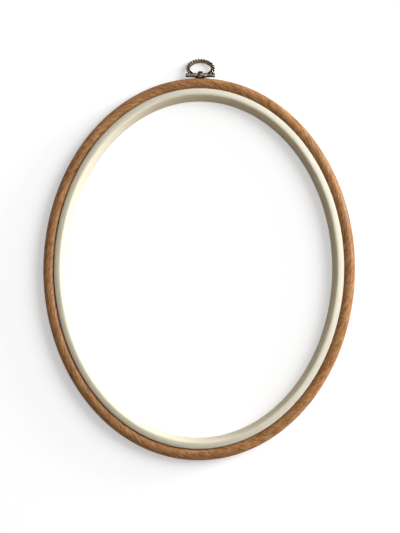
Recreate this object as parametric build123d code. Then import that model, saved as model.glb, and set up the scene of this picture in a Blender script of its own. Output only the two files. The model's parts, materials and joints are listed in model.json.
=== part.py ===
from build123d import *
import math
import os

# An oval embroidery hoop that grips by stretch: a flexible wood-look outer ring over a rigid plastic inner
# ring, with an antique-brass hanger at the top. Millimetres. The hoop lies on its back on z = 0, its front
# faces +Z, its long axis is Y and the hanger is at +Y. The origin is the centre of the oval, on the table.

# Driving sizes of the oval, over the outer ring
hoop_width = 195.0
hoop_length = 240.0

# Outer ring: a section that is round outside and flat where it grips
outer_ring_width = 6.9
outer_ring_height = 7.0
outer_ring_corner = 2.6

# Inner ring: a front face that rolls down to the outside, a ridge, and an inner wall that slopes to the table
ring_gap = 0.15
front_width = 4.4
shoulder_height = 7.8
shoulder_radius = 0.5
ridge_height = 8.9
ridge_radius = 1.2
front_crown = 0.35
wall_run = 2.45
wall_foot_height = 0.6

# Lip of the inner ring, which the outer ring is pressed down onto
lip_width = 3.2
lip_height = 1.2
lip_edge_radius = 0.4

# Open channel in the back of the inner ring, which keeps its walls even
shell_thickness = 1.9
channel_corner = 0.4

# Bar that the bail hangs on, as long as the bail is wide but for an inset at each end
bar_diameter = 2.5
bar_end_inset = 0.05
bar_standoff = 2.0
bar_end_bevel = 0.15
bar_head_diameter = 2.8
bar_head_length = 0.9

# Cast eye, its flared foot and its riveted shank
running_clearance = 0.06
fit_gap = 0.03
eye_diameter = 5.1
eye_width = 3.3
eye_edge_radius = 0.8
eye_foot_width = 5.8
eye_foot_depth = 3.6
eye_foot_rise = 0.75
eye_foot_brim = 0.05
eye_foot_sink = 0.9
eye_foot_edge_radius = 0.5
shank_diameter = 1.8
washer_diameter = 4.0
washer_thickness = 0.6
washer_play = 0.2
rivet_head_diameter = 2.8
rivet_head_height = 0.4
rivet_head_depth = 0.1

# Beads on the bar, one on each side of the eye
bead_diameter = 3.1
bead_end_diameter = 2.7
bead_length = 2.3
bead_gap = 0.4

# Rope-twist bail, set in the bar
bail_width = 18.7
bail_reach = 12.3
rope_diameter = 2.45
rope_core_diameter = 1.8
lobe_thickness = 1.1
lobe_count = 15
lobe_lay = 32.0
lobe_margin_share = 0.05
band_step = 0.15
band_depth = 2.5
bail_foot_share = 0.39
bail_foot_sink = 0.2
peg_diameter = 1.2
peg_depth = 1.3
peg_root = 0.5
rest_gap = 0.05

# How far a cutting shape runs past what it cuts
overrun = 1.0

# Places worked out from the sizes
oval = Rot(0, 0, 180) * Edge.make_ellipse(hoop_width / 2, hoop_length / 2)
ring_middle = lip_height + outer_ring_height / 2
grip_offset = -outer_ring_width
wall_offset = grip_offset - ring_gap
ridge_offset = wall_offset - front_width
window_offset = ridge_offset - wall_run
bar_radius = bar_diameter / 2
bead_reach = eye_width / 2 + bead_gap + bead_length
bail_foot_spacing = 2 * (bead_reach + bail_foot_share * (bail_width / 2 - bead_reach))
bar_length = bail_width - 2 * bar_end_inset
rope_radius = rope_diameter / 2
hanger_place = Vector(0, hoop_length / 2 + bar_standoff, ring_middle)

# The bail's arch: an ellipse whose centre line passes through the tip and ends over the two feet
arch_half_width = bail_width / 2 - rope_radius
arch_turn = math.acos(bail_foot_spacing / 2 / arch_half_width)
bail_tip_reach = bail_reach - rope_radius
arch_height = (bail_tip_reach - bar_radius + bail_foot_sink) / (1 + math.sin(arch_turn))
arch_centre_reach = bail_tip_reach - arch_height
bail_droop = math.degrees(math.asin((ring_middle - rope_radius - rest_gap) / bail_tip_reach))
bail_frame = Location(hanger_place, (-bail_droop, 0, 0))


def section_plane():
    """Plane across the oval at its start, opposite the hanger: x points out of the oval and y points up."""
    start = oval @ 0
    return Plane(origin=start, x_dir=Vector(start.X, start.Y, 0), z_dir=-(oval % 0))


def round_corner(face, corner, radius):
    """The face with the corner nearest to a point rounded."""
    return fillet(face.vertices().sort_by_distance(corner)[0], radius)


def closed_face(*edges):
    """A face inside edges that join end to end."""
    return Sketch() + make_face(list(edges))


def carried_round_oval(section):
    """The solid that a section makes when it is carried once round the oval."""
    return sweep(section_plane() * section, path=oval)


def outer_ring_section():
    """A half round outside, a flat top and bottom, and two rounded corners at the gripping face."""
    crown = outer_ring_height / 2
    low = lip_height
    high = lip_height + outer_ring_height
    outline = [
        Line((grip_offset, low), (-crown, low)),
        ThreePointArc((-crown, low), (0, ring_middle), (-crown, high)),
        Line((-crown, high), (grip_offset, high)),
        Line((grip_offset, high), (grip_offset, low)),
    ]
    face = round_corner(closed_face(*outline), Vector(grip_offset, low, 0), outer_ring_corner)
    return round_corner(face, Vector(grip_offset, high, 0), outer_ring_corner)


def inner_ring_section():
    """Lip, outer wall, crowned front face, ridge and sloping wall, with the channel taken out of the back.

    It runs on below the table, where the ring is cut off level.
    """
    lip_offset = wall_offset + lip_width
    lip_sole_offset = lip_offset - lip_edge_radius
    shoulder = Vector(wall_offset, shoulder_height)
    ridge = Vector(ridge_offset, ridge_height)
    along_front = (ridge - shoulder).normalized()
    crest = (shoulder + ridge) / 2 + along_front.rotate(Axis.Z, -90) * front_crown
    outline = [
        Line((window_offset, -overrun), (lip_sole_offset, -overrun)),
        Line((lip_sole_offset, -overrun), (lip_sole_offset, 0)),
        JernArc((lip_sole_offset, 0), (1, 0), lip_edge_radius, 90),
        Line((lip_offset, lip_edge_radius), (lip_offset, lip_height)),
        Line((lip_offset, lip_height), (wall_offset, lip_height)),
        Line((wall_offset, lip_height), shoulder),
        ThreePointArc(shoulder, crest, ridge),
        Line(ridge, (window_offset, wall_foot_height)),
        Line((window_offset, wall_foot_height), (window_offset, -overrun)),
    ]
    face = closed_face(*outline)
    face = round_corner(face, shoulder, shoulder_radius)
    face = round_corner(face, ridge, ridge_radius)
    return face - channel_section()


def channel_section():
    """A groove whose sides follow the outer wall and the sloping wall, one wall thickness inside them."""
    lean = math.atan2(wall_run, ridge_height - wall_foot_height)
    roof_height = shoulder_height - shell_thickness
    outer_side = wall_offset - shell_thickness
    slope_at_floor = ridge_offset - ridge_height * math.tan(lean) + shell_thickness / math.cos(lean)
    slope_at_roof = slope_at_floor + roof_height * math.tan(lean)
    roof_outer = Vector(outer_side, roof_height, 0)
    roof_inner = Vector(slope_at_roof, roof_height, 0)
    mouth = -2 * overrun
    slope_at_mouth = slope_at_floor + mouth * math.tan(lean)
    corners = [(outer_side, mouth), roof_outer, roof_inner, (slope_at_mouth, mouth)]
    groove = Sketch() + make_face(Polyline(*corners, close=True))
    groove = round_corner(groove, roof_outer, channel_corner)
    return round_corner(groove, roof_inner, channel_corner)


def turned(*edges):
    """A turned piece: edges in the half plane beside Z, as radius and height, spun round Z."""
    return revolve(Plane.XZ * closed_face(*edges), axis=Axis.Z)


def across_bar(shape):
    """A shape made round Z, laid along the bar's direction."""
    return Rot(0, 90, 0) * shape


def along_shank(shape):
    """A shape made round Z, turned so that its top points out of the ring."""
    return Rot(-90, 0, 0) * shape


def stepped_outline(*corners):
    """The edges of a closed outline through corners given as radius and height."""
    return Polyline(*corners, close=True).edges()


def shank(extra_radius, extra_length):
    """Shank and riveted head of the eye, running into the ring from the bar, thickened as asked."""
    inner_face = -bar_standoff - outer_ring_width
    head_bottom = inner_face + rivet_head_depth - extra_length
    head_top = inner_face + rivet_head_depth + rivet_head_height + extra_length
    stem_radius = shank_diameter / 2 + extra_radius
    head_radius = rivet_head_diameter / 2 + extra_radius
    stem_top = -bar_radius - running_clearance
    corners = [
        (0, head_bottom),
        (head_radius, head_bottom),
        (head_radius, head_top),
        (stem_radius, head_top),
        (stem_radius, stem_top),
        (0, stem_top),
    ]
    return along_shank(turned(*stepped_outline(*corners)))


def washer_bottom():
    """Height of the washer's inner face, measured along the shank from the bar."""
    return -bar_standoff - outer_ring_width + rivet_head_depth + rivet_head_height + fit_gap


def eye_foot():
    """Foot of the eye: flanks that flare down to the ring, rounded along the front and back."""
    half_width = eye_foot_width / 2
    half_neck = eye_width / 2
    brim = -bar_standoff + eye_foot_brim
    rise = -bar_standoff + eye_foot_rise
    base = -bar_standoff - eye_foot_sink
    knee = Vector((half_width + half_neck * 2) / 3, (rise + brim * 2) / 3)
    outline = [
        Line((-half_width, base), (half_width, base)),
        Line((half_width, base), (half_width, brim)),
        ThreePointArc((half_width, brim), knee, (half_neck, rise)),
        Line((half_neck, rise), (half_neck, 0)),
        Line((half_neck, 0), (-half_neck, 0)),
        Line((-half_neck, 0), (-half_neck, rise)),
        ThreePointArc((-half_neck, rise), Vector(-knee.X, knee.Y), (-half_width, brim)),
        Line((-half_width, brim), (-half_width, base)),
    ]
    plate = extrude(closed_face(*outline), amount=eye_foot_depth / 2, both=True)
    corners = plate.edges().filter_by(Axis.Y).filter_by(lambda edge: abs(edge.center().X) > half_neck)
    return fillet(corners, eye_foot_edge_radius)


def eye_barrel():
    """The eye itself: a short barrel round the bar with rounded rims."""
    barrel = Cylinder(eye_diameter / 2, eye_width)
    barrel = fillet(barrel.edges().filter_by(GeomType.CIRCLE), eye_edge_radius)
    return across_bar(barrel)


def plain_outer_ring():
    """The flexible ring before the hanger's hole."""
    return carried_round_oval(outer_ring_section())


def outer_ring():
    """The flexible ring, with the hole for the shank and the pocket for the washer."""
    pocket_top = washer_bottom() + washer_thickness + fit_gap
    pocket_bottom = -bar_standoff - outer_ring_width - overrun
    pocket_depth = pocket_top - pocket_bottom
    pocket = Cylinder(washer_diameter / 2 + washer_play, pocket_depth)
    hole = shank(fit_gap, fit_gap) + along_shank(Pos(0, 0, pocket_top - pocket_depth / 2) * pocket)
    return plain_outer_ring() - Pos(hanger_place) * hole


def inner_ring():
    """The rigid ring, cut off level with the table."""
    below_table = Pos(0, 0, -overrun) * Box(hoop_width, hoop_length, 2 * overrun)
    return carried_round_oval(inner_ring_section()) - below_table


def hanger_eye():
    """Eye, flared foot seated on the ring, and shank with its riveted head."""
    seated_foot = Pos(hanger_place) * eye_foot() - plain_outer_ring()
    above_ring = Pos(hanger_place) * eye_barrel() - plain_outer_ring()
    hole = across_bar(Cylinder(bar_radius + running_clearance, eye_foot_width + overrun))
    casting = seated_foot + above_ring + Pos(hanger_place) * shank(0, 0)
    return casting - Pos(hanger_place) * hole


def shank_washer():
    """Washer in its pocket behind the ring, held by the riveted head."""
    washer = Cylinder(washer_diameter / 2, washer_thickness)
    washer -= Cylinder(shank_diameter / 2 + fit_gap, washer_thickness + overrun)
    middle = washer_bottom() + washer_thickness / 2
    return Pos(hanger_place) * along_shank(Pos(0, 0, middle) * washer)


def bail_bar():
    """Straight bar with a slightly upset right end and a cross hole for each of the bail's pegs."""
    bar = Cylinder(bar_radius, bar_length)
    head = Cylinder(bar_head_diameter / 2, bar_head_length)
    bar = bar + Pos(0, 0, (bar_length - bar_head_length) / 2) * head
    ends = bar.edges().filter_by(GeomType.CIRCLE).group_by(Axis.Z)
    bar = chamfer(ends[0] + ends[-1], bar_end_bevel)
    bar = across_bar(bar)
    hole = Rot(90, 0, 0) * Cylinder(peg_diameter / 2 + fit_gap, peg_depth + fit_gap + overrun)
    hole_middle = bar_radius + (overrun - peg_depth - fit_gap) / 2
    for side in (-1, 1):
        bar -= Pos(side * bail_foot_spacing / 2, hole_middle, 0) * hole
    return bail_frame * bar


def bead(side):
    """A crowned bead on the bar, beside the eye."""
    middle = eye_width / 2 + bead_gap + bead_length / 2
    half = bead_length / 2
    bore = bar_radius + fit_gap
    end_radius = bead_end_diameter / 2
    outline = [
        Line((bore, -half), (end_radius, -half)),
        ThreePointArc((end_radius, -half), (bead_diameter / 2, 0), (end_radius, half)),
        Line((end_radius, half), (bore, half)),
        Line((bore, half), (bore, -half)),
    ]
    return bail_frame * Pos(side * middle, 0, 0) * across_bar(turned(*outline))


def arch_path():
    """Centre line of the rope: an ellipse's arc that starts and ends above the bar's two cross holes."""
    turn = math.degrees(arch_turn)
    spine = Edge.make_ellipse(arch_half_width, arch_height, start_angle=-turn, end_angle=180 + turn)
    return Pos(0, arch_centre_reach, 0) * spine


def rope_core(path):
    """The round core of the twist."""
    start = Plane(origin=path @ 0, z_dir=path % 0)
    return sweep(start * Circle(rope_core_diameter / 2), path=path)


def twist_lobes(path):
    """Slanted ribs, evenly spaced along the core, that stand for the strands of the twist."""
    ring_radius = (rope_diameter - lobe_thickness) / 2
    rib = Torus(ring_radius, lobe_thickness / 2)
    lobes = []
    for index in range(lobe_count):
        share = lobe_margin_share + (1 - 2 * lobe_margin_share) * index / (lobe_count - 1)
        place = Plane(origin=path @ share, x_dir=(0, 0, 1), z_dir=path % share)
        lobes.append(place * Rot(lobe_lay, 0, 0) * rib)
    return lobes


def inner_band():
    """The smooth band along the inside of the arch, rooted in the rope's core and cut off at the bar."""
    root_inset = rope_core_diameter / 4
    face_inset = rope_radius + band_step
    band = Ellipse(arch_half_width - root_inset, arch_height - root_inset)
    band -= Ellipse(arch_half_width - face_inset, arch_height - face_inset)
    below = arch_height + overrun
    cut_top = bar_radius - arch_centre_reach
    band -= Pos(0, cut_top - below / 2) * Rectangle(bail_width, below)
    return Pos(0, arch_centre_reach, 0) * extrude(band, amount=band_depth / 2, both=True)


def bail():
    """The arch: rope core, slanted ribs and inner band, trimmed to the bar, with a peg at each end."""
    path = arch_path()
    arch = rope_core(path) + twist_lobes(path) + inner_band()
    arch -= across_bar(Cylinder(bar_radius + fit_gap, bail_width + overrun))
    peg_length = peg_depth + peg_root
    peg = Rot(90, 0, 0) * Cylinder(peg_diameter / 2, peg_length)
    peg_middle = bar_radius + (peg_root - peg_depth) / 2
    for side in (-1, 1):
        arch += Pos(side * bail_foot_spacing / 2, peg_middle, 0) * peg
    return bail_frame * arch


pieces = {
    "inner_ring": inner_ring(),
    "outer_ring": outer_ring(),
    "hanger_eye": hanger_eye(),
    "shank_washer": shank_washer(),
    "bail_bar": bail_bar(),
    "bail": bail(),
    "left_bead": bead(-1),
    "right_bead": bead(1),
}

os.makedirs("parts", exist_ok=True)
for name, shape in pieces.items():
    export_step(shape, f"parts/{name}.step")
print(f"bail droop at rest {bail_droop:.2f} degrees, bar axis {hanger_place}")
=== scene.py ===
"""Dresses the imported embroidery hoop: wood-look outer ring, cream inner ring and antique-brass hanger.

Everything is in metres in the part's own frame: the hoop lies on z = 0, its front faces +Z, its long axis
is Y and the hanger is at +Y.
"""

import json
import logging
import math
from dataclasses import dataclass, field
from enum import Enum
from typing import Sequence

import bpy
import numpy as np
from mathutils import Matrix, Vector


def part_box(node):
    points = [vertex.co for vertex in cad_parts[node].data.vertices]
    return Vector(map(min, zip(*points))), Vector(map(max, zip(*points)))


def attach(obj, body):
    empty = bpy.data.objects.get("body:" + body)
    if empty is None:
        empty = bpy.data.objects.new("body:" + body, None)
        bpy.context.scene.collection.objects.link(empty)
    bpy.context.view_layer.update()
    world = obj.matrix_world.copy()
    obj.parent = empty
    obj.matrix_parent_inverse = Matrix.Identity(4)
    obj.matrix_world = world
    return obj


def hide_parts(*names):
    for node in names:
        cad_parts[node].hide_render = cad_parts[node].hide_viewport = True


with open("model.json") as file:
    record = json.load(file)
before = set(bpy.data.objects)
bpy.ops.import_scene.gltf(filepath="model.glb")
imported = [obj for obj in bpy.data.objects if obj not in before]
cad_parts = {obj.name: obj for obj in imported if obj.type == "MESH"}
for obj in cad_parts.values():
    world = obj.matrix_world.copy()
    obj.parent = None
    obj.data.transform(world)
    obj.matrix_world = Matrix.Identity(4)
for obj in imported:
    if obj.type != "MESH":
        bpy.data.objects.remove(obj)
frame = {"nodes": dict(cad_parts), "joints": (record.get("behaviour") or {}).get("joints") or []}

LOG = logging.getLogger("hoop")
MILLIMETRE = 0.001
PICTURE_LONG_SIDE = 533
# The range that most of a Noise Texture's values lie in
NOISE_RANGE = (0.3, 0.7)
# The heights between which each plain brass piece goes from painted shade below to a top that is bright from
# rubbing and from a painted reflection of the bright surround
PLAIN_BRASS_SHADE_HEIGHTS = {
    "hanger_eye": (0.0040, 0.0086),
    "bail_bar": (0.0036, 0.0066),
    "left_bead": (0.0048, 0.0063),
    "right_bead": (0.0048, 0.0063),
}


Colour = tuple[float, float, float]
Range = tuple[float, float]


class Side(Enum):
    """A foot of the bail, seen from the front, with the sign of its x."""

    LEFT = -1
    RIGHT = 1


# Mesh helpers


def grid_faces(rows: int, columns: int, rows_close: bool, columns_close: bool) -> np.ndarray:
    """Quads of a grid of points stored row by row.

    Args:
        rows: number of points along the first parameter.
        columns: number of points along the second parameter.
        rows_close: whether the last row joins the first.
        columns_close: whether the last column joins the first.

    Returns:
        An array of shape (faces, 4) with the points' numbers.
    """
    row = np.arange(rows if rows_close else rows - 1)
    column = np.arange(columns if columns_close else columns - 1)
    i, j = np.meshgrid(row, column, indexing="ij")
    below, beside = (i + 1) % rows, (j + 1) % columns
    corners = [i * columns + j, below * columns + j, below * columns + beside, i * columns + beside]
    return np.stack(corners, axis=-1).reshape(-1, 4)


def mesh_object(name: str, points: np.ndarray, faces: Sequence[Sequence[int]]) -> bpy.types.Object:
    """A smooth-shaded mesh object at the origin.

    Args:
        name: the piece's name.
        points: an array of shape (points, 3), in metres.
        faces: the points' numbers of each face, anticlockwise from outside.

    Returns:
        The object, linked into the scene.
    """
    mesh = bpy.data.meshes.new(name)
    mesh.from_pydata(points.tolist(), [], [list(map(int, face)) for face in faces])
    mesh.validate()
    mesh.shade_smooth()
    piece = bpy.data.objects.new(name, mesh)
    bpy.context.scene.collection.objects.link(piece)
    return piece


def add_attribute(piece: bpy.types.Object, name: str, values: np.ndarray) -> None:
    """Stores one number per point of the piece, for its material to read."""
    attribute = piece.data.attributes.new(name, "FLOAT", "POINT")
    attribute.data.foreach_set("value", values.astype(np.float32).ravel())


def dress(piece: bpy.types.Object, material: bpy.types.Material) -> None:
    """Gives the piece one material through its object's slot."""
    if not piece.data.materials:
        piece.data.materials.append(None)
    for slot in piece.material_slots:
        slot.link = "OBJECT"
        slot.material = material


# Node helpers


@dataclass(frozen=True)
class Noise:
    """The settings of a Noise Texture."""

    scale: float
    detail: float
    roughness: float = 0.5
    distortion: float = 0.0


class NodeSheet:
    """A node tree with short ways to add and join its nodes."""

    def __init__(self, tree: bpy.types.NodeTree) -> None:
        """Starts with an empty tree."""
        self.tree = tree
        tree.nodes.clear()

    def add(self, kind: str, **settings: object) -> bpy.types.Node:
        """Adds a node of a kind.

        Args:
            kind: Blender's name of the node's type.
            **settings: properties of the node to set.

        Returns:
            The node.
        """
        node = self.tree.nodes.new(kind)
        for key, value in settings.items():
            setattr(node, key, value)
        return node

    def feed(self, socket: bpy.types.NodeSocket, source: object) -> None:
        """Joins a socket to an output, or sets its value where the source is a number or a colour."""
        if isinstance(source, bpy.types.NodeSocket):
            self.tree.links.new(source, socket)
        elif source is not None:
            socket.default_value = source

    def math(
        self, operation: str, first: object, second: object = None, clamp: bool = False
    ) -> bpy.types.NodeSocket:
        """The result of a Math node."""
        node = self.add("ShaderNodeMath", operation=operation, use_clamp=clamp)
        self.feed(node.inputs[0], first)
        self.feed(node.inputs[1], second)
        return node.outputs[0]

    def vector(self, x: object, y: object, z: object) -> bpy.types.NodeSocket:
        """A vector made of three numbers."""
        node = self.add("ShaderNodeCombineXYZ")
        for socket, source in zip(node.inputs, (x, y, z)):
            self.feed(socket, source)
        return node.outputs[0]

    def place(self, kind: str = "Object") -> bpy.types.NodeSocket:
        """The place of a point of the surface, in the object's own coordinates unless told otherwise."""
        return self.add("ShaderNodeTexCoord").outputs[kind]

    def parts(self, vector: object) -> Sequence[bpy.types.NodeSocket]:
        """The three numbers of a vector."""
        node = self.add("ShaderNodeSeparateXYZ")
        self.feed(node.inputs[0], vector)
        return tuple(node.outputs)

    def noise(self, place: object, look: Noise, fourth: object = None) -> bpy.types.NodeSocket:
        """The factor of a Noise Texture, in four dimensions where a fourth coordinate is given."""
        node = self.add("ShaderNodeTexNoise", noise_dimensions="3D" if fourth is None else "4D")
        self.feed(node.inputs["Vector"], place)
        if fourth is not None:
            self.feed(node.inputs["W"], fourth)
        node.inputs["Scale"].default_value = look.scale
        node.inputs["Detail"].default_value = look.detail
        node.inputs["Roughness"].default_value = look.roughness
        node.inputs["Distortion"].default_value = look.distortion
        return node.outputs["Fac"]

    def ramp(self, factor: object, stops: Sequence[tuple[float, Sequence[float]]]) -> bpy.types.NodeSocket:
        """The colour of a Color Ramp with stops given as place and colour."""
        node = self.add("ShaderNodeValToRGB")
        elements = node.color_ramp.elements
        while len(elements) > 1:
            elements.remove(elements[-1])
        elements[0].position, elements[0].color = stops[0][0], (*stops[0][1], 1.0)
        for place, colour in stops[1:]:
            elements.new(place).color = (*colour, 1.0)
        self.feed(node.inputs["Fac"], factor)
        return node.outputs["Color"]

    def blend(self, factor: object, first: object, second: object, kind: str = "MIX") -> bpy.types.NodeSocket:
        """The colour of a Mix node between two colours."""
        node = self.add("ShaderNodeMix", data_type="RGBA", blend_type=kind)
        self.feed(node.inputs[0], factor)
        for socket, source in ((node.inputs[6], first), (node.inputs[7], second)):
            self.feed(socket, (*source, 1.0) if isinstance(source, tuple) and len(source) == 3 else source)
        return node.outputs[2]

    def remap(self, value: object, taken: Range, given: Range) -> bpy.types.NodeSocket:
        """A value carried from the range taken to the range given, clamped to it."""
        node = self.add("ShaderNodeMapRange")
        for socket, source in zip(node.inputs, (value, *taken, *given)):
            self.feed(socket, source)
        return node.outputs[0]

    def bump(self, height: object, distance: float, strength: float) -> bpy.types.NodeSocket:
        """The normal of a Bump node."""
        node = self.add("ShaderNodeBump")
        node.inputs["Distance"].default_value = distance
        node.inputs["Strength"].default_value = strength
        self.feed(node.inputs["Height"], height)
        return node.outputs["Normal"]

    def seen(self) -> bpy.types.NodeSocket:
        """1 for a ray by which the camera sees the surface, itself, mirrored or through glass, and else 0."""
        path = self.add("ShaderNodeLightPath").outputs
        indirect = self.math("MAXIMUM", path["Is Glossy Ray"], path["Is Transmission Ray"])
        return self.math("MAXIMUM", path["Is Camera Ray"], indirect)

    def mix(self, share: object, first: bpy.types.Node, second: bpy.types.Node) -> bpy.types.NodeSocket:
        """The shader that goes from the first node's to the second's as the share goes from 0 to 1."""
        node = self.add("ShaderNodeMixShader")
        for socket, source in zip(node.inputs, (share, first.outputs[0], second.outputs[0])):
            self.feed(socket, source)
        return node.outputs[0]


def new_group(name: str, inputs: Sequence[tuple[str, str, object]],
              outputs: Sequence[tuple[str, str]]) -> tuple[NodeSheet, bpy.types.Node, bpy.types.Node]:
    """An empty shader node group with its sockets.

    Args:
        name: the group's name.
        inputs: name, socket type and default value of each input.
        outputs: name and socket type of each output.

    Returns:
        The group's sheet, its input node and its output node.
    """
    tree = bpy.data.node_groups.new(name, "ShaderNodeTree")
    for label, kind, value in inputs:
        tree.interface.new_socket(label, in_out="INPUT", socket_type=kind).default_value = value
    for label, kind in outputs:
        tree.interface.new_socket(label, in_out="OUTPUT", socket_type=kind)
    sheet = NodeSheet(tree)
    return sheet, sheet.add("NodeGroupInput"), sheet.add("NodeGroupOutput")


def place_group(sheet: NodeSheet, tree: bpy.types.NodeTree, values: dict[str, object]) -> bpy.types.Node:
    """A group node in a material, with its own values."""
    node = sheet.add("ShaderNodeGroup", node_tree=tree)
    for label, value in values.items():
        sheet.feed(node.inputs[label], value)
    return node


@dataclass(frozen=True)
class Oval:
    """The oval that both rings follow: the ellipse round the outer ring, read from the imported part."""

    half_width: float
    half_length: float

    @staticmethod
    def from_frame() -> "Oval":
        """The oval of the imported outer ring."""
        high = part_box("outer_ring")[1]
        return Oval(high.x, high.y)

    @property
    def mean_radius(self) -> float:
        """The radius of a circle about as long as the oval."""
        return (self.half_width + self.half_length) / 2

    def point(self, turn: np.ndarray) -> np.ndarray:
        """Points of the ellipse: half width times cosine and half length times sine of the turn."""
        return np.stack([self.half_width * np.cos(turn), self.half_length * np.sin(turn)], axis=-1)

    def outward(self, turn: np.ndarray) -> np.ndarray:
        """Unit vectors square to the ellipse at the turn, pointing out of it."""
        normal = np.stack([self.half_length * np.cos(turn), self.half_width * np.sin(turn)], axis=-1)
        return normal / np.linalg.norm(normal, axis=-1, keepdims=True)


class RingCoordinates:
    """A node group that gives places along and across a ring, so that a pattern runs round the oval.

    The turn round the oval is the arc tangent of y over the half length and x over the half width. The
    pattern's place along the ring is a circle of the mean radius in two coordinates, which has no seam. Its
    place across the ring is the distance from the middle of the section, turned a whole number of times on
    the way round, so that a grain winds along the ring as on a rolled strip. Inside the group, lengths are
    in millimetres.
    """

    STRETCH: float = 5.0
    SECTION_INSET: float = 3.2
    SECTION_HEIGHT: float = 4.7

    def __init__(self, oval: Oval) -> None:
        """Builds the group for an oval."""
        inputs = [
            ("Winds", "NodeSocketFloat", 0.0),
            ("Stretch", "NodeSocketFloat", self.STRETCH),
            ("Inset", "NodeSocketFloat", self.SECTION_INSET),
            ("Height", "NodeSocketFloat", self.SECTION_HEIGHT),
        ]
        outputs = [("Place", "NodeSocketVector"), ("Fourth", "NodeSocketFloat")]
        sheet, taken, given = new_group("along the oval", inputs, outputs)
        across_part, along_part, up_part = sheet.parts(sheet.place())
        x = sheet.math("DIVIDE", across_part, oval.half_width)
        y = sheet.math("DIVIDE", along_part, oval.half_length)
        turn = sheet.math("ARCTAN2", y, x)
        squares = sheet.math("ADD", sheet.math("MULTIPLY", x, x), sheet.math("MULTIPLY", y, y))
        reach = sheet.math("SQRT", squares)
        radius = oval.mean_radius / MILLIMETRE
        beyond = sheet.math("MULTIPLY", sheet.math("SUBTRACT", reach, 1.0), radius)
        out = sheet.math("ADD", beyond, taken.outputs["Inset"])
        up = sheet.math("SUBTRACT", sheet.math("DIVIDE", up_part, MILLIMETRE), taken.outputs["Height"])
        wound = sheet.math("MULTIPLY", turn, taken.outputs["Winds"])
        cosine, sine = sheet.math("COSINE", wound), sheet.math("SINE", wound)
        across = sheet.math("SUBTRACT", sheet.math("MULTIPLY", out, cosine), sheet.math("MULTIPLY", up, sine))
        fourth = sheet.math("ADD", sheet.math("MULTIPLY", out, sine), sheet.math("MULTIPLY", up, cosine))
        along = sheet.math("DIVIDE", radius, taken.outputs["Stretch"])
        first = sheet.math("MULTIPLY", sheet.math("COSINE", turn), along)
        second = sheet.math("MULTIPLY", sheet.math("SINE", turn), along)
        sheet.feed(given.inputs["Place"], sheet.vector(first, second, across))
        sheet.feed(given.inputs["Fourth"], fourth)
        self.tree = sheet.tree


def new_material(name: str) -> tuple[bpy.types.Material, NodeSheet, bpy.types.Node]:
    """A material with a Principled BSDF joined to its output.

    Returns:
        The material, its node sheet and the Principled BSDF node.
    """
    material = bpy.data.materials.new(name)
    material.use_nodes = True
    sheet = NodeSheet(material.node_tree)
    output = sheet.add("ShaderNodeOutputMaterial")
    shader = sheet.add("ShaderNodeBsdfPrincipled")
    sheet.feed(output.inputs["Surface"], shader.outputs[0])
    return material, sheet, shader


def set_constants(shader: bpy.types.Node, values: dict[str, object]) -> None:
    """Sets what is the same all over a surface on the shader's own sockets."""
    for label, value in values.items():
        shader.inputs[label].default_value = value


# Finishes


@dataclass(frozen=True)
class WoodgrainVinyl:
    """Flexible vinyl with an embossed and printed light brown grain that winds along the ring.

    The grain is a broad streak and a fine fibre, each in its share. A cloud darkens and lightens it.
    """

    dark: Colour = (0.190, 0.066, 0.008)
    middle: Colour = (0.410, 0.205, 0.082)
    light: Colour = (0.620, 0.390, 0.220)
    grain_stops: tuple[float, float, float] = (0.36, 0.50, 0.66)
    winds: float = 10.0
    streak: Noise = Noise(1.15, 4.0, 0.62, 0.8)
    streak_stretch: float = 5.0
    streak_share: float = 0.72
    fibre: Noise = Noise(3.2, 3.0, 0.6)
    fibre_stretch: float = 7.0
    cloud: Noise = Noise(0.16, 2.0)
    cloud_stops: Range = (0.35, 0.65)
    cloud_dark: Colour = (0.86, 0.84, 0.82)
    cloud_light: Colour = (1.08, 1.08, 1.08)
    emboss_depth: float = 0.00016
    roughness: Range = (0.48, 0.32)
    specular_level: float = 0.08
    specular_tint: Colour = (1.0, 0.86, 0.68)
    coat_weight: float = 0.25
    coat_tint: Colour = (0.92, 0.72, 0.46)
    coat_roughness: float = 0.22

    def material(self, coordinates: RingCoordinates) -> bpy.types.Material:
        """Builds the finish.

        Args:
            coordinates: the group that gives places along the ring.

        Returns:
            The material.
        """
        material, sheet, shader = new_material("woodgrain vinyl")
        broad = place_group(sheet, coordinates.tree, {"Winds": self.winds, "Stretch": self.streak_stretch})
        fine = place_group(sheet, coordinates.tree, {"Winds": self.winds, "Stretch": self.fibre_stretch})
        streak = sheet.noise(broad.outputs["Place"], self.streak, broad.outputs["Fourth"])
        fibre = sheet.noise(fine.outputs["Place"], self.fibre, fine.outputs["Fourth"])
        cloud = sheet.noise(broad.outputs["Place"], self.cloud, broad.outputs["Fourth"])
        shares = (
            sheet.math("MULTIPLY", streak, self.streak_share),
            sheet.math("MULTIPLY", fibre, 1 - self.streak_share),
        )
        grain = sheet.math("ADD", *shares)
        shade = sheet.ramp(grain, list(zip(self.grain_stops, (self.dark, self.middle, self.light))))
        tint = sheet.ramp(cloud, list(zip(self.cloud_stops, (self.cloud_dark, self.cloud_light))))
        sheet.feed(shader.inputs["Base Color"], sheet.blend(1.0, shade, tint, "MULTIPLY"))
        sheet.feed(shader.inputs["Roughness"], sheet.remap(grain, NOISE_RANGE, self.roughness))
        sheet.feed(shader.inputs["Normal"], sheet.bump(grain, self.emboss_depth, 1.0))
        set_constants(shader, {
            "Specular IOR Level": self.specular_level,
            "Specular Tint": (*self.specular_tint, 1.0),
            "Coat Weight": self.coat_weight,
            "Coat Tint": (*self.coat_tint, 1.0),
            "Coat Roughness": self.coat_roughness,
        })
        return material


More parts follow.
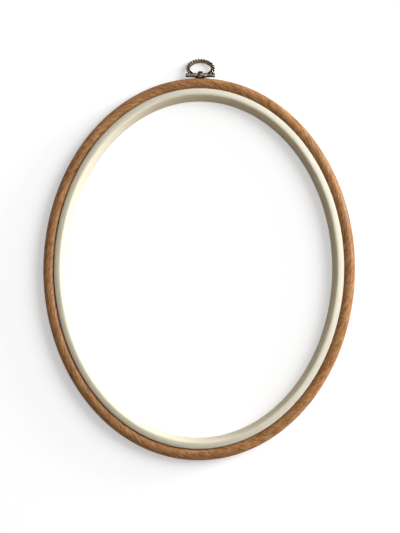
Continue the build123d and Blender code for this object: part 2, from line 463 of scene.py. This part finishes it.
@dataclass(frozen=True)
class CreamPlastic:
    """Rigid cream plastic, a little translucent, with faint flow streaks along the ring."""

    colour: Colour = (0.84, 0.79, 0.66)
    shade: Colour = (0.80, 0.74, 0.59)
    flow: Noise = Noise(1.1, 3.0)
    flow_stretch: float = 24.0
    flow_stops: Range = (0.35, 0.60)
    flow_depth: float = 0.00002
    roughness: Range = (0.52, 0.42)
    specular_level: float = 0.15
    scatter_share: float = 0.75
    scatter_depth: float = 0.0040
    scatter_reach: Colour = (1.0, 0.90, 0.75)

    def material(self, coordinates: RingCoordinates) -> bpy.types.Material:
        """Builds the finish.

        Args:
            coordinates: the group that gives places along the ring.

        Returns:
            The material.
        """
        material, sheet, shader = new_material("cream plastic")
        place = place_group(sheet, coordinates.tree, {"Winds": 0.0, "Stretch": self.flow_stretch})
        flow = sheet.noise(place.outputs["Place"], self.flow, place.outputs["Fourth"])
        stops = list(zip(self.flow_stops, (self.shade, self.colour)))
        sheet.feed(shader.inputs["Base Color"], sheet.ramp(flow, stops))
        sheet.feed(shader.inputs["Roughness"], sheet.remap(flow, NOISE_RANGE, self.roughness))
        sheet.feed(shader.inputs["Normal"], sheet.bump(flow, self.flow_depth, 1.0))
        set_constants(shader, {
            "Specular IOR Level": self.specular_level,
            "Subsurface Weight": self.scatter_share,
            "Subsurface Radius": self.scatter_reach,
            "Subsurface Scale": self.scatter_depth,
        })
        return material


@dataclass(frozen=True)
class AntiqueBrass:
    """Brass darkened nearly to black in its hollows and bright from rubbing on its high spots, with painted
    shade and a painted reflection on the plain pieces.

    The colour for a height is one node group. Each brass piece's material places it with its own height,
    which is 0 in a hollow and 1 on a high spot. On the twisted bail that height follows its strands, band and
    pegs, as real patina and rubbing. On each plain piece it follows the height over the table, so that its
    lower part gets painted shade and its top a painted reflection of the bright surround as well as rubbing.
    Blotches shift that height a little, so that the rubbing is uneven.
    """

    # On the plain pieces the darkest colour also stands for painted shade low down, and the brightest for a
    # painted reflection on their tops.
    recess_and_shade: Colour = (0.006, 0.004, 0.003)
    worn: Colour = (0.030, 0.018, 0.010)
    rubbed_and_sheen: Colour = (0.56, 0.47, 0.36)
    wear_and_shade_stops: tuple[float, float, float] = (0.30, 0.62, 1.0)
    blotch: Noise = Noise(900.0, 4.0, 0.6)
    blotch_shift: float = 0.22
    blotch_depth: float = 0.00003
    blotch_strength: float = 0.6
    # The levels between which a plain piece runs from painted shade to its top with a painted reflection.
    plain_shade_range: Range = (0.1, 0.95)
    roughness: Range = (0.42, 0.14)
    specular_tint: Colour = (0.25, 0.22, 0.18)

    def wear_and_shade(self) -> bpy.types.NodeTree:
        """Builds the group that gives the colour and roughness for a height, and the blotches."""
        outputs = [
            ("Colour", "NodeSocketColor"),
            ("Roughness", "NodeSocketFloat"),
            ("Blotch", "NodeSocketFloat"),
        ]
        sheet, taken, given = new_group("brass wear and painted shade", [("Height", "NodeSocketFloat", 0.0)], outputs)
        blotch = sheet.noise(sheet.place(), self.blotch)
        shift = sheet.remap(blotch, NOISE_RANGE, (-self.blotch_shift, self.blotch_shift))
        rub_and_shade = sheet.math("ADD", taken.outputs["Height"], shift, clamp=True)
        stops = list(zip(self.wear_and_shade_stops, (self.recess_and_shade, self.worn, self.rubbed_and_sheen)))
        sheet.feed(given.inputs["Colour"], sheet.ramp(rub_and_shade, stops))
        sheet.feed(given.inputs["Roughness"], sheet.remap(rub_and_shade, (0.0, 1.0), self.roughness))
        sheet.feed(given.inputs["Blotch"], blotch)
        return sheet.tree

    def material(self, name: str, wear_and_shade: bpy.types.NodeTree, relief: str | Range) -> bpy.types.Material:
        """Builds the finish.

        Args:
            name: the material's name.
            wear_and_shade: the group that the method of that name gives.
            relief: the name of the piece's attribute that is 1 on its high spots, or for a plain piece the
                two heights between which it goes from painted shade to a top that is bright from rubbing and
                a painted reflection.

        Returns:
            The material.
        """
        material, sheet, shader = new_material(name)
        if isinstance(relief, str):
            height = sheet.add("ShaderNodeAttribute", attribute_name=relief).outputs["Fac"]
        else:
            # Plain pieces: their height over the table paints shade on their lower parts and a reflection of
            # the bright surround on their tops, along with rubbing.
            height = sheet.remap(sheet.parts(sheet.place())[2], relief, self.plain_shade_range)
        look = place_group(sheet, wear_and_shade, {"Height": height}).outputs
        sheet.feed(shader.inputs["Base Color"], look["Colour"])
        sheet.feed(shader.inputs["Roughness"], look["Roughness"])
        normal = sheet.bump(look["Blotch"], self.blotch_depth, self.blotch_strength)
        sheet.feed(shader.inputs["Normal"], normal)
        set_constants(shader, {"Metallic": 1.0, "Specular Tint": (*self.specular_tint, 1.0)})
        return material


@dataclass(frozen=True)
class WasherSteel:
    """Plain pressed steel with a fine tumbled grain."""

    colour: Colour = (0.55, 0.55, 0.56)
    tarnish: Colour = (0.36, 0.34, 0.32)
    blotch: Noise = Noise(1500.0, 4.0, 0.6)
    blotch_stops: Range = (0.35, 0.6)
    roughness: Range = (0.48, 0.33)

    def material(self) -> bpy.types.Material:
        """Builds the finish and returns its material."""
        material, sheet, shader = new_material("washer steel")
        blotch = sheet.noise(sheet.place(), self.blotch)
        stops = list(zip(self.blotch_stops, (self.tarnish, self.colour)))
        sheet.feed(shader.inputs["Base Color"], sheet.ramp(blotch, stops))
        sheet.feed(shader.inputs["Roughness"], sheet.remap(blotch, NOISE_RANGE, self.roughness))
        set_constants(shader, {"Metallic": 1.0})
        return material


# Pieces


@dataclass(frozen=True)
class Shell:
    """One closed surface of a piece, with a relief value for each of its points."""

    points: np.ndarray
    faces: np.ndarray
    caps: list[list[int]]
    relief: np.ndarray

    @staticmethod
    def from_sections(sections: np.ndarray, relief: np.ndarray) -> "Shell":
        """A tube through sections, closed by a fan of faces round a point at the middle of each end.

        Args:
            sections: an array of shape (sections, points, 3), each section anticlockwise as seen against
                the way that the sections follow each other.
            relief: an array of shape (sections, points).

        Returns:
            The closed tube.
        """
        rows, columns = relief.shape
        points = np.concatenate([sections.reshape(-1, 3), sections[[0, -1]].mean(axis=1)])
        side = np.arange(columns)
        beside = (side + 1) % columns
        base = (rows - 1) * columns
        first = np.stack([np.full(columns, rows * columns), beside, side], axis=-1)
        last = np.stack([np.full(columns, rows * columns + 1), base + side, base + beside], axis=-1)
        faces = grid_faces(rows, columns, False, True)[:, ::-1]
        ends = relief[[0, -1]].mean(axis=1)
        caps = np.concatenate([first, last]).tolist()
        return Shell(points, faces, caps, np.concatenate([relief.ravel(), ends]))


@dataclass
class Bail:
    """The hanger's bail: a twisted rope arch with a smooth band along its inside and a peg in each foot.

    The bail is built lying flat, with the bar's middle at the origin and the arch towards +Y, then drooped
    until its tip lies on the table and put on the hinge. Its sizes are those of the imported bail, with
    strands in place of that bail's ribs and a reach 0.1 mm shorter.
    """

    width: float = 0.0187
    reach: float = 0.0122
    rope_diameter: float = 0.00245
    bar_radius: float = 0.00125
    foot_spacing: float = 0.0126
    foot_sink: float = 0.0002
    rest_gap: float = 0.00005
    strand_count: int = 2
    strand_radius: float = 0.00066
    twist_lead: float = 0.0034
    twist_start: float = 0.6
    crown_sharpness: float = 1.6
    band_root: float = 0.00045
    band_step: float = 0.00015
    band_depth: float = 0.0025
    band_edge_radius: float = 0.0003
    band_stop_share: float = 0.8
    peg_diameter: float = 0.0012
    peg_depth: float = 0.0013
    peg_root: float = 0.0008
    length_steps: int = 4000
    rope_steps: int = 700
    rope_sides: int = 48
    band_steps: int = 160
    corner_steps: int = 6
    peg_sides: int = 32
    band_face_relief: float = 0.75
    band_root_relief: float = 0.2
    peg_relief: float = 0.3
    relief_name: str = "relief"
    pivot: Vector = field(default_factory=Vector)

    def __post_init__(self) -> None:
        """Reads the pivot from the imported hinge."""
        hinge = next(joint for joint in frame["joints"] if joint["name"] == "bail_swing")
        self.pivot = Vector(hinge["pos_m"])

    @property
    def rope_radius(self) -> float:
        """Radius of the rope over its strands."""
        return self.rope_diameter / 2

    @property
    def tip_reach(self) -> float:
        """Distance of the rope's centre line from the bar at the tip."""
        return self.reach - self.rope_radius

    @property
    def half_width(self) -> float:
        """Half the width of the arch's centre line."""
        return self.width / 2 - self.rope_radius

    @property
    def turn(self) -> float:
        """How far the centre line's ellipse runs on below its widest place, in radians."""
        return math.acos(self.foot_spacing / 2 / self.half_width)

    @property
    def height(self) -> float:
        """Half the height of the centre line's ellipse, which passes through the tip and the feet."""
        return (self.tip_reach - self.bar_radius + self.foot_sink) / (1 + math.sin(self.turn))

    @property
    def droop(self) -> float:
        """How far the bail hangs down until its tip lies on the table, in radians."""
        return math.asin((self.pivot.z - self.rope_radius - self.rest_gap) / self.tip_reach)

    def placed(self, points: np.ndarray) -> np.ndarray:
        """Points of the flat bail turned by the droop about the bar and moved to the hinge."""
        cosine, sine = math.cos(self.droop), math.sin(self.droop)
        turned = np.stack([
            points[:, 0],
            points[:, 1] * cosine + points[:, 2] * sine,
            points[:, 2] * cosine - points[:, 1] * sine,
        ], axis=-1)
        return turned + np.array(self.pivot)

    def arch(self, inset: float, turn: float, steps: int) -> tuple[np.ndarray, np.ndarray, np.ndarray]:
        """A line along the arch at even steps of its length.

        The line is an ellipse's arc: half width times cosine across, half height times sine up from the
        centre. It runs from the right foot over the tip to the left foot. The even steps come from a table of
        its length.

        Args:
            inset: how far inside the rope's centre line it runs.
            turn: how far it runs on below the ellipse's widest place, in radians.
            steps: the number of points.

        Returns:
            The points, the unit normals towards the inside of the arch, and the distances along the line.
        """
        across, up = self.half_width - inset, self.height - inset
        fine = np.linspace(-turn, math.pi + turn, self.length_steps)
        line = np.stack([across * np.cos(fine), up * np.sin(fine)], axis=-1)
        length = np.concatenate([[0.0], np.cumsum(np.linalg.norm(np.diff(line, axis=0), axis=1))])
        along = np.linspace(0.0, length[-1], steps)
        angle = np.interp(along, length, fine)
        centre = self.tip_reach - self.height
        points = np.stack([across * np.cos(angle), centre + up * np.sin(angle)], axis=-1)
        tangent = np.stack([-across * np.sin(angle), up * np.cos(angle)], axis=-1)
        tangent /= np.linalg.norm(tangent, axis=-1, keepdims=True)
        return points, np.stack([-tangent[:, 1], tangent[:, 0]], axis=-1), along

    @staticmethod
    def carried(points: np.ndarray, inward: np.ndarray, section: np.ndarray) -> np.ndarray:
        """Sections carried along a line in the bail's plane.

        Args:
            points: the line, of shape (steps, 2).
            inward: its unit normals, of shape (steps, 2).
            section: how far each point lies inwards and above the plane, of shape (steps, sides, 2).

        Returns:
            The sections, of shape (steps, sides, 3).
        """
        flat = points[:, None, :] + inward[:, None, :] * section[..., :1]
        return np.concatenate([flat, section[..., 1:]], axis=-1)

    def rope(self) -> Shell:
        """The twisted rope.

        Its section is the outline of round strands laid side by side round the middle: at an angle from the
        nearest strand's middle, the outline lies at the strand's offset times the cosine plus the square root
        of the strand's radius squared less the offset times the sine, squared. The angle runs round the rope
        and once more along each lead of the twist.
        """
        points, inward, along = self.arch(0.0, self.turn, self.rope_steps)
        around = np.linspace(0.0, 2 * math.pi, self.rope_sides, endpoint=False)
        sector = 2 * math.pi / self.strand_count
        twist = around[None, :] + 2 * math.pi * along[:, None] / self.twist_lead + self.twist_start
        angle = (twist + sector / 2) % sector - sector / 2
        offset = self.rope_radius - self.strand_radius
        outline = offset * np.cos(angle) + np.sqrt(self.strand_radius ** 2 - (offset * np.sin(angle)) ** 2)
        section = np.stack([outline * np.cos(around), outline * np.sin(around)], axis=-1)
        relief = ((outline - outline.min()) / (outline.max() - outline.min())) ** self.crown_sharpness
        return Shell.from_sections(self.carried(points, inward, section), relief)

    def band(self) -> Shell:
        """The smooth band inside the arch.

        Its section is a rectangle whose corners are quarter circles: each corner's centre plus the edge
        radius times the cosine and sine of an angle that goes once round over the four corners. It ends just
        inside the bar.
        """
        face = self.rope_radius + self.band_step
        inset, half_thickness = (self.band_root + face) / 2, (face - self.band_root) / 2
        drop = self.tip_reach - self.height - self.bar_radius * self.band_stop_share
        turn = math.asin(drop / (self.height - inset))
        points, inward, _ = self.arch(inset, turn, self.band_steps)
        quarter = np.linspace(0.0, math.pi / 2, self.corner_steps)
        angle = (quarter[None, :] + np.arange(4)[:, None] * math.pi / 2).ravel()
        sign = np.repeat(np.array([[1, 1], [-1, 1], [-1, -1], [1, -1]]), len(quarter), axis=0)
        corner = np.array([half_thickness, self.band_depth / 2]) - self.band_edge_radius
        section = sign * corner + self.band_edge_radius * np.stack([np.cos(angle), np.sin(angle)], axis=-1)
        sections = self.carried(points, inward, np.repeat(section[None], self.band_steps, axis=0))
        relief = np.where(sign[:, 0] > 0, self.band_face_relief, self.band_root_relief)
        return Shell.from_sections(sections, np.repeat(relief[None], self.band_steps, axis=0))

    def peg(self, side: Side) -> Shell:
        """The round peg of one foot, which runs into the bar."""
        around = np.linspace(0.0, 2 * math.pi, self.peg_sides, endpoint=False)
        heights = np.array([self.bar_radius + self.peg_root, self.bar_radius - self.peg_depth])
        sections = np.empty((2, self.peg_sides, 3))
        sections[..., 0] = side.value * self.foot_spacing / 2 + self.peg_diameter / 2 * np.cos(around)
        sections[..., 1] = heights[:, None]
        sections[..., 2] = self.peg_diameter / 2 * np.sin(around)
        return Shell.from_sections(sections, np.full((2, self.peg_sides), self.peg_relief))

    def build(self) -> bpy.types.Object:
        """Joins the rope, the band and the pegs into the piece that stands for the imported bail.

        Returns:
            The piece, with an attribute that is 1 on its high spots and 0 in its grooves.
        """
        shells = [self.rope(), self.band(), *(self.peg(side) for side in Side)]
        starts = np.cumsum([0] + [len(shell.points) for shell in shells])
        faces = []
        for shell, start in zip(shells, starts):
            faces += (shell.faces + start).tolist() + (np.array(shell.caps) + start).tolist()
        points = self.placed(np.concatenate([shell.points for shell in shells]))
        piece = mesh_object("twisted_bail", points, faces)
        add_attribute(piece, self.relief_name, np.concatenate([shell.relief for shell in shells]))
        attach(piece, "bail")
        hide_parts("bail")
        return piece


@dataclass
class Studio:
    """Table, light and camera of the photograph.

    Where the camera sees the table or the surround, also mirrored or through glass, they are nearly white.
    The light that they throw on the hoop has the table's own warm colour, and comes from a surround that is
    brighter towards the lamps.
    """

    floor_size: float = 6.0
    floor_drop: float = 0.0001
    floor_colour: tuple[float, float, float] = (0.85, 0.63, 0.36)
    camera_distance: float = 0.9
    camera_right: float = math.radians(1.0)
    camera_down: float = math.radians(5.6)
    camera_roll: float = math.radians(-0.4)
    focal_pixels: float = 1432.0
    aim: tuple[float, float] = (0.0006, 0.0007)
    sensor: float = 36.0
    lamp_azimuth: float = math.radians(22.0)
    lamp_distance: float = 2.6
    key_elevation: float = math.radians(38.0)
    key_size: float = 1.70
    key_power: float = 50.0
    rim_elevation: float = math.radians(9.0)
    rim_size: float = 0.60
    rim_power: float = 40.0
    sky_azimuth: float = math.radians(30.0)
    sky_turn: float = 0.8
    sky_away: float = 0.03
    sky_towards: float = 0.66
    seen_floor: float = 1.40
    shadow_share: float = 0.58
    white: float = 1.0

    def floor(self) -> bpy.types.Object:
        """The table: a large flat sheet that glows a little where it is seen, and keeps the shadow."""
        half = self.floor_size / 2
        corners = np.array([[-half, -half], [half, -half], [half, half], [-half, half]])
        points = np.column_stack([corners, np.full(len(corners), -self.floor_drop)])
        floor = mesh_object("table", points, [[0, 1, 2, 3]])
        material = bpy.data.materials.new("table white")
        material.use_nodes = True
        sheet = NodeSheet(material.node_tree)
        output = sheet.add("ShaderNodeOutputMaterial")
        diffuse = sheet.add("ShaderNodeBsdfDiffuse")
        glow = sheet.add("ShaderNodeEmission")
        seen = sheet.seen()
        colour = sheet.blend(seen, self.floor_colour, (self.seen_floor,) * 3)
        sheet.feed(diffuse.inputs["Color"], colour)
        share = sheet.math("MULTIPLY", seen, 1 - self.shadow_share)
        sheet.feed(output.inputs["Surface"], sheet.mix(share, diffuse, glow))
        dress(floor, material)
        return floor

    def sky(self) -> None:
        """A plain soft surround, brighter towards the lamps, and white where it is seen."""
        world = bpy.data.worlds.new("surround")
        bpy.context.scene.world = world
        world.use_nodes = True
        sheet = NodeSheet(world.node_tree)
        output = sheet.add("ShaderNodeOutputWorld")
        light = sheet.add("ShaderNodeBackground")
        x, y, _ = sheet.parts(sheet.place("Generated"))
        towards = sheet.math(
            "ADD",
            sheet.math("MULTIPLY", x, math.cos(self.sky_azimuth)),
            sheet.math("MULTIPLY", y, math.sin(self.sky_azimuth)),
        )
        levels = sheet.remap(towards, (-self.sky_turn, self.sky_turn), (self.sky_away, self.sky_towards))
        sheet.feed(light.inputs["Strength"], levels)
        white = sheet.add("ShaderNodeBackground")
        white.inputs["Strength"].default_value = self.white
        sheet.feed(output.inputs["Surface"], sheet.mix(sheet.seen(), light, white))

    def lamp(self, name: str, elevation: float, size: float, power: float) -> bpy.types.Object:
        """A round soft lamp on the right, aimed at the hoop's middle.

        Args:
            name: the lamp's name.
            elevation: its height over the table, in radians.
            size: its diameter in metres.
            power: its power in watts.

        Returns:
            The lamp's object.
        """
        disc = bpy.data.lights.new(name, "AREA")
        disc.shape = "DISK"
        disc.size = size
        disc.energy = power
        level = math.cos(elevation)
        across, along = level * math.cos(self.lamp_azimuth), level * math.sin(self.lamp_azimuth)
        direction = Vector((across, along, math.sin(elevation)))
        lamp = bpy.data.objects.new(name, disc)
        lamp.location = direction * self.lamp_distance
        lamp.rotation_euler = direction.to_track_quat("Z", "Y").to_euler()
        bpy.context.scene.collection.objects.link(lamp)
        return lamp

    def camera(self) -> bpy.types.Object:
        """The camera over the table, at the photograph's viewing angle."""
        lens = bpy.data.cameras.new("camera")
        lens.sensor_width = self.sensor
        lens.lens = self.focal_pixels / PICTURE_LONG_SIDE * self.sensor
        right, down = math.sin(self.camera_right), -math.sin(self.camera_down)
        direction = Vector((right, down, math.sqrt(1 - right * right - down * down)))
        place = direction * self.camera_distance
        forward = (Vector((*self.aim, 0.0)) - place).normalized()
        up = Vector((math.sin(self.camera_roll), math.cos(self.camera_roll), 0.0))
        across = forward.cross(up).normalized()
        upright = across.cross(forward)
        turned = Matrix((across, upright, -forward)).transposed()
        camera = bpy.data.objects.new("camera", lens)
        camera.matrix_world = Matrix.Translation(place) @ turned.to_4x4()
        bpy.context.scene.collection.objects.link(camera)
        bpy.context.scene.camera = camera
        return camera


def report(piece: bpy.types.Object) -> None:
    """Logs a finished piece."""
    LOG.info("piece %s with %d faces", piece.name, len(piece.data.polygons))


def main() -> None:
    """Builds the scene: stage first, then the rings, then the hanger."""
    logging.basicConfig(level=logging.INFO, format="%(name)s: %(message)s")
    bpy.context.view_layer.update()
    bpy.context.scene.view_settings.view_transform = "Standard"
    studio = Studio()
    studio.camera()
    studio.sky()
    studio.lamp("key", studio.key_elevation, studio.key_size, studio.key_power)
    studio.lamp("rim", studio.rim_elevation, studio.rim_size, studio.rim_power)
    report(studio.floor())

    coordinates = RingCoordinates(Oval.from_frame())
    nodes = frame["nodes"]
    dress(nodes["outer_ring"], WoodgrainVinyl().material(coordinates))
    dress(nodes["inner_ring"], CreamPlastic().material(coordinates))
    brass = AntiqueBrass()
    wear_and_shade = brass.wear_and_shade()
    # Plain brass pieces: painted shade lower down and a painted reflection on top, from each piece's heights.
    for name, heights in PLAIN_BRASS_SHADE_HEIGHTS.items():
        dress(nodes[name], brass.material(f"antique brass of {name}", wear_and_shade, heights))
    bail = Bail()
    twisted_bail = bail.build()
    dress(twisted_bail, brass.material("antique brass of twist", wear_and_shade, bail.relief_name))
    report(twisted_bail)
    dress(nodes["shank_washer"], WasherSteel().material())
    for name, piece in nodes.items():
        if name != "bail":
            report(piece)


if __name__ == "__main__":
    main()
